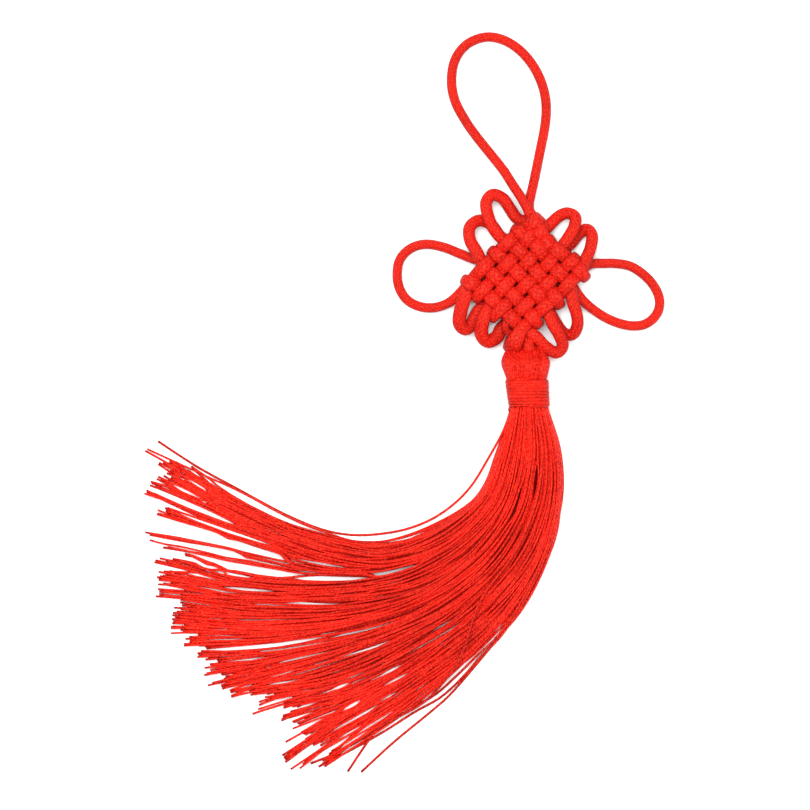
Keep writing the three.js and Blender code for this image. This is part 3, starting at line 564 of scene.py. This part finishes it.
def joined(name, tubes, material, slot, *nodes):
    """One mesh from many tubes: each gives its rings, the length along it, a tint and an end shade.

    A tint is one number, one for each ring, or one for each point of each ring.
    """
    spots = []
    faces = []
    uvs = []
    tints = []
    ends = []
    smooth_faces = []
    start = 0
    for rings, along, tint, end in tubes:
        count, sides = rings.shape[:2]
        spots.append(rings.reshape(-1, 3))
        tint = np.reshape(tint, (-1, 1)) if np.ndim(tint) < 2 else tint
        tints.append(np.broadcast_to(tint, (count, sides)).ravel())
        ends.append(np.repeat(np.broadcast_to(end, count), sides))
        i, j = np.meshgrid(np.arange(count - 1), np.arange(sides), indexing="ij")
        a = start + i * sides + j
        b = start + i * sides + (j + 1) % sides
        quads = np.stack([a, b, b + sides, a + sides], axis=-1).reshape(-1, 4)
        faces.extend(quads.tolist())
        low = np.stack([along[i], j / sides], axis=-1)
        low_next = np.stack([along[i], (j + 1) / sides], axis=-1)
        high_next = np.stack([along[i + 1], (j + 1) / sides], axis=-1)
        high = np.stack([along[i + 1], j / sides], axis=-1)
        uvs.append(np.stack([low, low_next, high_next, high], axis=2).reshape(-1, 2))
        smooth_faces.extend([True] * len(quads))
        first = list(range(start + sides - 1, start - 1, -1))
        last = list(range(start + (count - 1) * sides, start + count * sides))
        faces.extend([first, last])
        round_share = np.arange(sides) / sides
        uvs.append(np.stack([np.full(sides, along[0]), round_share[::-1]], axis=1))
        uvs.append(np.stack([np.full(sides, along[-1]), round_share], axis=1))
        smooth_faces.extend([False, False])
        start += count * sides
    mesh = bpy.data.meshes.new(name)
    mesh.from_pydata((np.concatenate(spots) * MM).tolist(), [], faces)
    mesh.polygons.foreach_set("use_smooth", smooth_faces)
    layer = mesh.uv_layers.new(name="thread_lay")
    layer.data.foreach_set("uv", np.concatenate(uvs).astype(np.float32).ravel())
    for label, values in (("tint", tints), ("end", ends)):
        attribute = mesh.attributes.new(label, "FLOAT", "POINT")
        attribute.data.foreach_set("value", np.concatenate(values).astype(np.float32))
    mesh.update()
    piece = bpy.data.objects.new(name, mesh)
    bpy.context.scene.collection.objects.link(piece)
    mesh.materials.append(material)
    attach(piece, "root")
    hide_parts(*nodes)
    return piece


def wire(tree, node_type, *inputs, **settings):
    """A new node, with its settings, its inputs linked or set in order."""
    node = tree.nodes.new(node_type)
    for key, value in settings.items():
        setattr(node, key, value)
    for place, value in enumerate(inputs):
        if value is None:
            continue
        if isinstance(value, bpy.types.NodeSocket):
            tree.links.new(value, node.inputs[place])
        else:
            node.inputs[place].default_value = value
    return node


def calc(tree, operation, *inputs, clamp=False):
    return wire(tree, "ShaderNodeMath", *inputs, operation=operation, use_clamp=clamp).outputs[0]


def spread(tree, value, low, high, to_low, to_high):
    return wire(tree, "ShaderNodeMapRange", value, low, high, to_low, to_high).outputs[0]


def mixed(tree, share, first, second, blend="MIX"):
    node = tree.nodes.new("ShaderNodeMix")
    node.data_type = "RGBA"
    node.blend_type = blend
    for socket, value in ((node.inputs[0], share), (node.inputs[6], first), (node.inputs[7], second)):
        if isinstance(value, bpy.types.NodeSocket):
            tree.links.new(value, socket)
        else:
            socket.default_value = value
    return node.outputs[2]


def braid_height(tree, along, around):
    """Plaited satin: long narrow cells of filaments that lean one way and the other."""
    length = calc(tree, "DIVIDE", along, BRAID_CELL)
    turns = calc(tree, "MULTIPLY", around, BRAID_ROUND)
    one = calc(tree, "ADD", length, turns)
    other = calc(tree, "SUBTRACT", length, turns)
    crown_one = calc(tree, "ABSOLUTE", calc(tree, "SINE", calc(tree, "MULTIPLY", one, math.pi)))
    crown_other = calc(tree, "ABSOLUTE", calc(tree, "SINE", calc(tree, "MULTIPLY", other, math.pi)))
    crown = calc(tree, "MULTIPLY", crown_one, crown_other)
    cells = calc(tree, "ADD", calc(tree, "FLOOR", one), calc(tree, "FLOOR", other))
    leaning = calc(tree, "FLOORED_MODULO", cells, 2.0)
    lines_one = calc(tree, "SINE", calc(tree, "MULTIPLY", one, 2 * math.pi * FIBRES))
    lines_other = calc(tree, "SINE", calc(tree, "MULTIPLY", other, 2 * math.pi * FIBRES))
    lines = wire(tree, "ShaderNodeMix", leaning, None, lines_one, lines_other).outputs[0]
    soft = calc(tree, "MULTIPLY", calc(tree, "POWER", crown, 0.5), CELL_RELIEF)
    return calc(tree, "ADD", soft, calc(tree, "MULTIPLY", lines, FIBRE_RELIEF))


def twist_height(tree, along, around, lay, plies=2.0):
    """Twisted thread: the plies lie round it like the strands of a rope."""
    length = calc(tree, "DIVIDE", along, lay)
    phase = calc(tree, "ADD", length, calc(tree, "MULTIPLY", around, plies))
    ply = calc(tree, "ABSOLUTE", calc(tree, "SINE", calc(tree, "MULTIPLY", phase, math.pi)))
    fine = calc(tree, "SINE", calc(tree, "MULTIPLY", phase, 2 * math.pi * FIBRES))
    return calc(tree, "ADD", ply, calc(tree, "MULTIPLY", fine, TWIST_FIBRE_RELIEF))


def twisted(lay):
    return lambda tree, along, around: twist_height(tree, along, around, lay)


def satin(name, height_of, depth, light=THREAD_RED, deepest=0.1, clearest=0.65, grain=(3.0, 1.9)):
    """Red satin fibre: a fine lay in relief, with shade painted a darker red between the fibres and a painted
    orange highlight on their crowns, with a soft silky gloss.

    Depth is the relief in mm. Deepest and clearest are the heights where the red is painted darkest, as
    shade, and lightest, with the painted highlight.
    Grain is how many mm of flecks go once round the fibre, and how many flecks there are to a mm.
    """
    material = bpy.data.materials.new(name)
    material.use_nodes = True
    tree = material.node_tree
    shader = tree.nodes["Principled BSDF"]
    lay = wire(tree, "ShaderNodeUVMap", uv_map="thread_lay").outputs[0]
    parts = wire(tree, "ShaderNodeSeparateXYZ", lay).outputs
    height = height_of(tree, parts[0], parts[1])
    place = wire(tree, "ShaderNodeTexCoord").outputs["Object"]
    patches = wire(tree, "ShaderNodeTexNoise", place, None, PATCHES_PER_METRE, 3.0).outputs["Fac"]
    tint = wire(tree, "ShaderNodeAttribute", attribute_name="tint").outputs["Fac"]
    across = calc(tree, "MULTIPLY", parts[1], grain[0])
    each_thread = calc(tree, "MULTIPLY", tint, 60.0)
    stretched = wire(tree, "ShaderNodeCombineXYZ", parts[0], across, each_thread).outputs[0]
    flecks = wire(tree, "ShaderNodeTexNoise", stretched, None, grain[1], 2.0).outputs["Fac"]
    end = wire(tree, "ShaderNodeAttribute", attribute_name="end").outputs["Fac"]
    clear = spread(tree, height, deepest, clearest, 0.0, 1.0)
    # Painted shade: the red goes towards the darker red where the relief is low between the fibres, and in
    # random flecks
    fleck_and_shade = calc(tree, "MULTIPLY", clear, spread(tree, flecks, *FLECKS), clamp=True)
    colour = mixed(tree, fleck_and_shade, HOLLOW_SHADE_AND_FLECK_RED, light)
    # Painted highlight: an orange red mixed in on the crowns of the relief, in random flecks
    painted_highlight = calc(tree, "MULTIPLY", clear, spread(tree, flecks, *PAINTED_HIGHLIGHT_FLECKS), clamp=True)
    colour = mixed(tree, painted_highlight, colour, PAINTED_HIGHLIGHT_RED)
    shade = calc(tree, "MULTIPLY", tint, spread(tree, patches, *PATCHES))
    shade_colour = wire(tree, "ShaderNodeCombineColor", shade, shade, shade).outputs[0]
    colour = mixed(tree, 1.0, colour, shade_colour, "MULTIPLY")
    colour = mixed(tree, end, colour, END_RED)
    tree.links.new(colour, shader.inputs["Base Color"])
    rough = spread(tree, clear, 0.0, 1.0, ROUGH_DEEP, ROUGH_CLEAR)
    tree.links.new(rough, shader.inputs["Roughness"])
    shader.inputs["IOR"].default_value = SILK_IOR
    shader.inputs["Specular IOR Level"].default_value = SILK_SPECULAR
    shader.inputs["Specular Tint"].default_value = SILK_GLOSS
    bump = wire(tree, "ShaderNodeBump")
    bump.inputs["Strength"].default_value = 1.0
    bump.inputs["Distance"].default_value = depth * MM
    tree.links.new(height, bump.inputs["Height"])
    tree.links.new(bump.outputs[0], shader.inputs["Normal"])
    return material


def oval(section, angle, power, inset=0.0):
    """Points round one oval section of the head or the neck."""
    y, left, right, low, high = section
    across = np.sign(np.cos(angle)) * np.abs(np.cos(angle)) ** (2 / power)
    over = np.sign(np.sin(angle)) * np.abs(np.sin(angle)) ** (2 / power)
    half_wide = (right - left) / 2 - inset
    half_tall = (high - low) / 2 - inset
    x = (left + right) / 2 + half_wide * across
    z = (low + high) / 2 + half_tall * over
    return x, np.full_like(x, y), z


def make_cord(material):
    """The whole braided cord as one sweep, with shade painted a deeper red down its sides."""
    course, along = flowing(cord_keys(), CORD_STEP)
    path = course[:, :3] + np.array(SETTLED)
    rings = rings_of(path, cord_side(path), course[:, 3], course[:, 4], course[:, 5], CORD_SIDES)
    # Painted shade: the lower a point lies on the cord's section, the darker its red is painted
    crown = (rings[..., 2] - path[:, 2:]) / (course[:, 4:5] / 2)
    tint = PAINTED_SIDE_SHADE + (1 - PAINTED_SIDE_SHADE) * smooth((crown - PAINTED_SHADE_FROM) / PAINTED_SHADE_FADE)
    return joined("braided_cord", [(rings, along, tint, 0.0)], material, "satin_cord", "knot_cord")


def oval_round(half_wide, half_tall):
    """About how long the way round an oval is."""
    root = math.sqrt((3 * half_wide + half_tall) * (half_wide + 3 * half_tall))
    return math.pi * (3 * (half_wide + half_tall) - root)


def make_head(material):
    """Threads folded over the cord's ends, gathered in three lobes that come out from under the knot."""
    tubes = []
    number = 0
    for name, stations in LOBES.items():
        widest = stations[2][1]
        count = int(oval_round(widest, LOBE_HALF_TALL) / (HEAD_THREAD * HEAD_PACKED))
        for thread in range(count):
            angle = 2 * math.pi * (thread + 0.3 * uneven(number)) / count
            proud = HEAD_PROUD * (uneven(number + 9) - 0.5)
            keys = []
            for place, (y, (centre, half, low, high)) in enumerate(zip(HEAD_PLACES, stations)):
                turn = angle + LOBE_LEAN[name] * (2 - place) / 2
                reach = half - HEAD_THREAD / 2 + proud
                tall = (high - low) / 2 - HEAD_THREAD / 2 + proud
                z = max((high + low) / 2 + tall * math.sin(turn), HEAD_THREAD / 2)
                keys.append((centre + reach * math.cos(turn), y + 0.4 * (uneven(number + 3) - 0.5), z))
            course, along = flowing(np.array(keys), HEAD_STEP)
            course[:, 2] = np.maximum(course[:, 2], HEAD_THREAD / 2)
            outward = np.tile([-math.sin(angle), 0.0, math.cos(angle)], (len(course), 1))
            rings = rings_of(course, outward, HEAD_THREAD * 1.05, HEAD_THREAD, ROUND, 8)
            tint = HEAD_LEAST_TINT + HEAD_TINT_RANGE * uneven(number + 31)
            tubes.append((rings, along + uneven(number) * 3, tint, 0.0))
            number += 1
    return joined("folded_head_threads", tubes, material, "tassel_thread", "tassel")


def make_core(material):
    """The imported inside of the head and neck, oval rings set a little within the threads."""
    angles = 2 * np.pi * np.arange(CORE_SIDES) / CORE_SIDES
    rings = []
    for section in [*HEAD_CORE, BINDING_TOP, BINDING_FOOT]:
        inset = 0.0 if section in HEAD_CORE else CORE_INSET
        ring = np.stack(oval(section, angles, CORE_POWER, inset), axis=1)
        ring[:, 2] = np.maximum(ring[:, 2], CORE_LOWEST)
        rings.append(ring)
    rings = np.array(rings)
    along = HEAD_CORE[0][0] - rings[:, 0, 1]
    return joined("packed_core", [(rings, along, 0.8, 0.0)], material, "tassel_thread", "tassel")


def make_binding(material):
    """Fine turns wound round the neck, and the short tail left where they end."""
    turn = np.arange(BINDING_TURNS * BINDING_STEPS + 1) / BINDING_STEPS
    share = turn / BINDING_TURNS
    angle = 2 * np.pi * turn + math.pi / 2
    x = np.empty(len(turn))
    z = np.empty(len(turn))
    y = BINDING_TOP[0] - BINDING_THREAD / 2 + (BINDING_FOOT[0] - BINDING_TOP[0] + BINDING_THREAD) * share
    for i, (place, way) in enumerate(zip(share, angle)):
        section = tuple(a + (b - a) * place for a, b in zip(BINDING_TOP, BINDING_FOOT))
        wobble = 0.06 * math.sin(way * 0.31 + 1.7) + 0.05 * math.sin(way * 1.73)
        sunk = 0.35 * (max(0.0, 0.06 - place) + max(0.0, place - 0.95)) / 0.06
        inset = BINDING_THREAD / 2 + BINDING_INSET + sunk + wobble * 0.5
        px, _, pz = oval(section, np.array([way]), BINDING_POWER, inset)
        x[i] = px[0]
        z[i] = max(pz[0], BINDING_THREAD / 2)
        y[i] += 0.07 * math.sin(way * 0.47)
    path = np.stack([x, y, z], axis=1)
    lengths = np.linalg.norm(np.diff(path, axis=0), axis=1)
    along = np.concatenate([[0], np.cumsum(lengths)])
    side = np.tile([0.0, 1.0, 0.0], (len(path), 1))
    uneven_turns = 0.16 * np.sin(np.floor(turn) * 2.4) * np.sin(turn * 1.7 + 1)
    # Painted shade: the turns are painted darker where they face left and right, at the binding's sides; the
    # rest is random tone from turn to turn
    tints = 0.88 + uneven_turns - 0.14 * np.abs(np.cos(angle)) ** 3
    turns = rings_of(path, side, BINDING_THREAD * 0.95, BINDING_THREAD, ROUND, 8)
    course, tail_along = flowing(np.array(BINDING_TAIL), 0.3)
    tail = rings_of(course, level_side(course), TAIL_THREAD, TAIL_THREAD, ROUND, 6)
    tubes = [(turns, along, tints, 0.0), (tail, tail_along, 0.8, 0.3)]
    return joined("wound_binding", tubes, material, "binding_thread", "neck_binding")


def fan_point(at, share):
    """A point across the fan at one station, from its upper edge at 0 to its lower one at 1."""
    up = (1 - share) * (1 - 2 * share)
    middle = 4 * share * (1 - share)
    low = share * (2 * share - 1)
    return np.array([
        up * at[0] + middle * at[2] + low * at[4],
        up * at[1] + middle * at[3] + low * at[5],
    ])


def share_at_tip(x, y):
    """How far across the fan a tip lies, from its upper edge to its lower one."""
    shares = np.linspace(-0.05, 1.05, 221)
    away = [np.linalg.norm(fan_point(FAN[-1], share) - (x, y)) for share in shares]
    return float(shares[int(np.argmin(away))])


def parted(course):
    """Push a thread aside along each slit and furrow that it passes. A furrow stays closed near the floor."""
    for start_x, start_y, end_x, end_y, apart, closed in PARTINGS:
        start = np.array([start_x, start_y])
        way = np.array([end_x, end_y]) - start
        length = np.linalg.norm(way)
        way /= length
        across = np.array([-way[1], way[0]])
        along = (course[:, :2] - start) @ way / length
        off = (course[:, :2] - start) @ across
        side = 1 if off[np.argmin(np.abs(along - 0.5))] > 0 else -1
        near = np.sin(np.pi * np.clip(along, 0, 1)) ** 0.7
        kept = np.maximum(side * off, 0)
        free = smooth((course[:, 2] - closed) / FURROW_SLOPE) if closed else 1.0
        wanted = kept + apart * free * near * np.exp(-kept / (2 * apart))
        shift = np.clip((wanted - side * off) * free * np.minimum(1, near * 2), 0, 2 * apart)
        course[:, :2] += (side * shift)[:, None] * across
    course[:, 2] = np.maximum(course[:, 2], THREAD / 2)
    return course


def skirt_course(number, total, lock, place):
    """One thread: even across the neck, then drawn towards the lock that its tip belongs to."""
    tip_x, tip_y, _, width, short = lock
    jump = JUMP * (uneven(number + 91) - 0.5) if uneven(number + 23) > JUMPING_PAST else 0.0
    order = (number + 0.5) / total + jump
    lock_share = share_at_tip(tip_x, tip_y)
    layer = (number * GOLDEN) % 1
    inside = place - 0.5
    wander = WANDER + WANDER_MORE * uneven(number + 51) ** 3
    keys = []
    for station, at in enumerate(FAN[:-1]):
        drawn = float(smooth((station - DRAW_FROM) / DRAW_OVER))
        stray = wander * math.sin(station * 1.3 + 6.3 * uneven(number + 5)) * min(1, station / 2)
        share = order * (1 - drawn) + lock_share * drawn + stray
        x, y = fan_point(at, share)
        ahead = fan_point(FAN[station + 1], share) - (x, y)
        across = np.array([ahead[1], -ahead[0]]) / np.linalg.norm(ahead)
        x, y = (x, y) + across * inside * width * drawn
        edge = (1 - min(1.0, abs(2 * share - 1)) ** FAN_POWER) ** (1 / FAN_POWER)
        room = max(at[6] * (edge if station < 5 else max(edge, 0.5)) - THREAD, 0.0)
        if station == 0:
            z = at[6] / 2 + 0.1 + (layer - 0.5) * room
        else:
            z = THREAD / 2 + layer * room
        keys.append((x, y, z))
    last = fan_point(FAN[-1], lock_share) - fan_point(FAN[-2], lock_share)
    heading = last / np.linalg.norm(last)
    across = np.array([heading[1], -heading[0]])
    stop = short * uneven(number + 17) ** 1.5 if place > 0 else 0.0
    tip = np.array([tip_x, tip_y]) + across * inside * width - heading * stop
    keys.append((tip[0], tip[1], THREAD / 2 + layer * TIP_STACK))
    return np.array(keys)


def make_skirt(material):
    """All threads of the skirt, in three pieces from its upper edge to its lower one."""
    total = sum(lock[2] for lock in LOCKS)
    courses = []
    for lock in LOCKS:
        threads = lock[2]
        for thread in range(threads):
            courses.append(skirt_course(len(courses), total, lock, thread / max(1, threads - 1)))
    courses.insert(0, np.array(STRAYS[UPPER_STRAY]))
    courses.extend(np.array(points) for label, points in STRAYS.items() if label != UPPER_STRAY)
    apart = {0, *range(total + 1, len(courses))}
    tubes = []
    for number, keys in enumerate(courses):
        course, along = flowing(keys, THREAD_STEP)
        if number not in apart:
            course = parted(course)
        share = along / along[-1]
        if number in apart:
            fat = STRAY_THREAD
            tint = ROOT_TINT - (ROOT_TINT - STRAY_TINT) * smooth(share * 2 - 0.3)
        else:
            fat = THREAD * (THINNEST + THICKER * uneven(number + 77))
            tint = LEAST_TINT + TINT_RANGE * uneven(number + 3)
            # Painted light and shade along each thread: lighter near both ends, darker along the middle of
            # its length
            tint = tint * (ENDS_PAINTED_LIGHTER - MIDDLE_PAINTED_DARKER * np.sin(np.pi * share) ** 2)
        rings = rings_of(course, level_side(course), fat, fat, ROUND, THREAD_SIDES)
        rings[..., 2] = np.maximum(rings[..., 2], 0.0)
        end = np.zeros(len(course))
        end[-1] = CUT_END
        tubes.append((rings, along + 5 * uneven(number), tint, end))
    third = math.ceil(len(tubes) / 3)
    for name, part in (("upper", 0), ("middle", 1), ("lower", 2)):
        chosen = tubes[part * third:(part + 1) * third]
        joined("skirt_threads_" + name, chosen, material, "tassel_thread", "tassel")


def plain(name, colour, roughness):
    material = bpy.data.materials.new(name)
    material.use_nodes = True
    shader = material.node_tree.nodes["Principled BSDF"]
    shader.inputs["Base Color"].default_value = colour
    shader.inputs["Roughness"].default_value = roughness
    return material


def softbox(name, place, size, watts):
    """A square soft light that faces the middle of the floor."""
    lamp = bpy.data.lights.new(name, "AREA")
    lamp.size = size
    lamp.energy = watts
    holder = bpy.data.objects.new(name, lamp)
    holder.location = place
    holder.rotation_euler = (-Vector(place)).to_track_quat("-Z", "Y").to_euler()
    bpy.context.scene.collection.objects.link(holder)


cord_satin = satin("braided_satin", braid_height, 0.10, CORD_RED, -0.08, 0.33, (12.0, 2.2))
thread_satin = satin("twisted_thread", twisted(1.1), 0.05, deepest=-0.2, clearest=0.7)
head_satin = satin("folded_thread", twisted(1.1), 0.06, deepest=-0.1, clearest=0.6)
wound_satin = satin("wound_thread", twisted(0.5), 0.03)
packed_satin = satin("packed_fibre", twisted(1.0), 0.02)

make_cord(cord_satin)
make_head(head_satin)
make_core(packed_satin)
make_binding(wound_satin)
make_skirt(thread_satin)

# The floor, the lights and the camera
floor_mesh = bpy.data.meshes.new("paper_floor")
floor_shape = bmesh.new()
bmesh.ops.create_grid(floor_shape, x_segments=1, y_segments=1, size=1.5)
floor_shape.to_mesh(floor_mesh)
floor_shape.free()
floor = bpy.data.objects.new("paper_floor", floor_mesh)
bpy.context.scene.collection.objects.link(floor)
floor_mesh.materials.append(plain("white_paper", (0.93, 0.93, 0.93, 1.0), 0.8))

softbox("overhead_softbox", place=(-0.12, 0.2, 0.95), size=0.8, watts=16.0)
softbox("side_softbox", place=(0.7, -0.2, 0.6), size=0.7, watts=3.0)
world = bpy.data.worlds.new("white_room")
world.use_nodes = True
world.node_tree.nodes["Background"].inputs["Color"].default_value = (1.0, 1.0, 1.0, 1.0)
world.node_tree.nodes["Background"].inputs["Strength"].default_value = 0.6
bpy.context.scene.world = world
bpy.context.scene.view_settings.view_transform = "Standard"

VIEW_WIDTH = 0.2106
VIEW_HEIGHT = 1.5
VIEW_DOWN = -0.0008
FILM_WIDTH = 36.0
lens = bpy.data.cameras.new("straight_above")
lens.sensor_width = FILM_WIDTH
lens.lens = FILM_WIDTH * VIEW_HEIGHT / VIEW_WIDTH
lens.clip_start = 0.01
camera = bpy.data.objects.new("straight_above", lens)
camera.location = (0.0, VIEW_DOWN, VIEW_HEIGHT)
bpy.context.scene.collection.objects.link(camera)
bpy.context.scene.camera = camera
